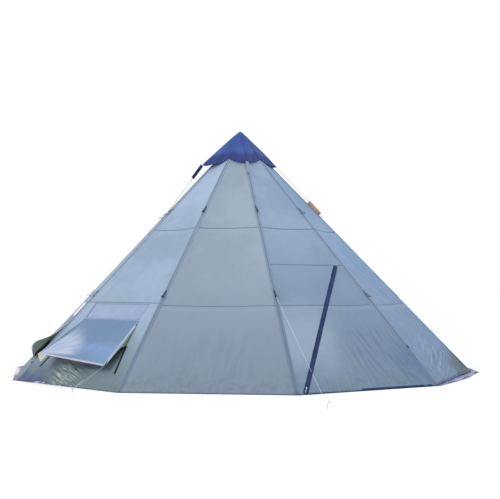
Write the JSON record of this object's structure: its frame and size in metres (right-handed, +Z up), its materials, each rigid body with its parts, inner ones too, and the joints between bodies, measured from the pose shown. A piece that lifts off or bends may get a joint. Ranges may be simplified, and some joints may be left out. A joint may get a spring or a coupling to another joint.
{
  "type": "pyramid tent",
  "caption": "Pyramid tent on a telescopic centre pole, with a zipped door, window hoods, a raised vent cap, webbed ridges, a guy line and a ground skirt.",
  "frame": {"origin": "on the ground under the centre pole, at the middle of the pole foot's underside", "axes": "+Z up along the pole, -Y out through the middle of the door wall, +X to the right of someone who faces the tent's door from outside"},
  "size_m": [6.9655, 7.8342, 3.575],
  "materials": {
    "wall_cloth": "matt coated polyester cloth, pale grey-blue",
    "cap_cloth": "matt coated polyester cloth, deep blue",
    "skirt_cloth": "light coated cloth, violet-blue",
    "hood_cloth": "matt coated polyester cloth, light blue",
    "seam_webbing": "flat woven tape, pale lavender-grey",
    "navy_webbing": "flat woven tape, navy",
    "black_tape": "zip tape, black",
    "clear_pane": "frosted clear sheet, glossy",
    "net": "insect net, dark",
    "aluminium": "satin drawn tube",
    "steel": "bright wire and zip metal",
    "black_plastic": "moulded, satin",
    "hem_rod": "fibre rod, dark red-brown",
    "rubber": "moulded, matt",
    "cord": "braided cord, pale",
    "toggle_plastic": "turned bar, dark green-black"
  },
  "bodies": {
    "tent": {"apex_plate": "black_plastic", "back_hood_toggle": "toggle_plastic", "back_window_net": "net", "back_window_pane": "clear_pane", "back_window_wall": "wall_cloth", "back_window_zip_left": "black_tape", "back_window_zip_right": "black_tape", "cap_tie_0": "navy_webbing", "cap_tie_1": "navy_webbing", "cap_tie_2": "navy_webbing", "cap_tie_3": "navy_webbing", "cap_tie_4": "navy_webbing", "crown_net": "net", "door_sill_strap": "navy_webbing", "door_toggle": "toggle_plastic", "door_wall": "wall_cloth", "front_hood_toggle": "toggle_plastic", "front_window_net": "net", "front_window_pane": "clear_pane", "front_window_wall": "wall_cloth", "front_window_zip_left": "black_tape", "front_window_zip_right": "black_tape", "hood_guy_line": "cord", "hood_guy_peg": "steel", "pole_top_plug": "black_plastic", "pole_upper_tube": "aluminium", "ridge_guy_line": "cord", "ridge_guy_peg": "steel", "ridge_webbing": "seam_webbing", "skirt_inner": "skirt_cloth", "skirt_outer": "skirt_cloth", "vent_cap": "cap_cloth", "wall_1": "wall_cloth", "wall_2": "wall_cloth", "wall_3": "wall_cloth", "wall_4": "wall_cloth", "wall_5": "wall_cloth", "wall_6": "wall_cloth", "wall_9": "wall_cloth", "wall_zip_tape": "navy_webbing"},
    "door": {"door_cloth": "wall_cloth", "door_zip_tape": "navy_webbing"},
    "zip_slider": {"door_zip_slider": "steel"},
    "zip_pull": {"door_zip_pull": "steel"},
    "front_hood": {"front_hood_cloth": "hood_cloth", "front_hood_rod": "hem_rod", "front_hood_wing_left": "hood_cloth", "front_hood_wing_right": "hood_cloth"},
    "back_hood": {"back_hood_cloth": "hood_cloth", "back_hood_rod": "hem_rod", "back_hood_wing_left": "hood_cloth", "back_hood_wing_right": "hood_cloth"},
    "pole_lower": {"pole_lower_tube": "aluminium", "pole_foot": "rubber"},
    "pole_collar": {"pole_lock_collar": "black_plastic"},
    "runner": {"guy_runner": "black_plastic"},
    "front_left_slider": {"front_window_slider_left": "black_plastic"},
    "front_right_slider": {"front_window_slider_right": "black_plastic"},
    "back_left_slider": {"back_window_slider_left": "black_plastic"},
    "back_right_slider": {"back_window_slider_right": "black_plastic"}
  },
  "joints": [
    {"name": "door_swing", "type": "hinge", "parent": "tent", "child": "door", "pos_m": [0.98228, -3.24372, -0.01107], "axis": [-0.2143, 0.6595, 0.7205], "range_deg": [0, 145]},
    {"name": "door_zip", "type": "slide", "parent": "tent", "child": "zip_slider", "axis": [0.5589, 0.5599, 0.6117], "range_m": [0, 2.3]},
    {"name": "zip_pull_swing", "type": "hinge", "parent": "zip_slider", "child": "zip_pull", "pos_m": [-0.89544, -3.18744, 0.05539], "axis": [-0.8292, 0.3774, 0.4123], "range_deg": [0, 90]},
    {"name": "front_hood_swing", "type": "hinge", "parent": "tent", "child": "front_hood", "pos_m": [-2.36922, -0.7698, 0.81164], "axis": [-0.309, 0.9511, 0], "range_deg": [-6, 0], "deforming": ["front_hood_wing_left", "front_hood_wing_right", "hood_guy_line"]},
    {"name": "back_hood_swing", "type": "hinge", "parent": "tent", "child": "back_hood", "pos_m": [-2.36922, 0.7698, 0.81164], "axis": [0.309, 0.9511, 0], "range_deg": [0, 6], "deforming": ["back_hood_wing_left", "back_hood_wing_right"]},
    {"name": "front_left_zip", "type": "slide", "parent": "tent", "child": "front_left_slider", "axis": [0.7027, -0.0639, 0.7086], "range_m": [0, 0.4]},
    {"name": "front_right_zip", "type": "slide", "parent": "tent", "child": "front_right_slider", "axis": [0.5309, 0.4648, 0.7086], "range_m": [0, 0.4]},
    {"name": "back_left_zip", "type": "slide", "parent": "tent", "child": "back_left_slider", "axis": [0.5309, -0.4648, 0.7086], "range_m": [0, 0.4]},
    {"name": "back_right_zip", "type": "slide", "parent": "tent", "child": "back_right_slider", "axis": [0.7027, 0.0639, 0.7086], "range_m": [0, 0.4]},
    {"name": "pole_slide", "type": "slide", "parent": "tent", "child": "pole_lower", "axis": [0, 0, 1], "range_m": [0, 1.4]},
    {"name": "collar_turn", "type": "hinge", "parent": "pole_lower", "child": "pole_collar", "pos_m": [0, 0, 1.8125], "axis": [0, 0, 1], "range_deg": [0, 120]},
    {"name": "runner_slide", "type": "slide", "parent": "tent", "child": "runner", "axis": [-0.2796, -0.8605, -0.4259], "range_m": [-0.25, 0.35]}
  ]
}
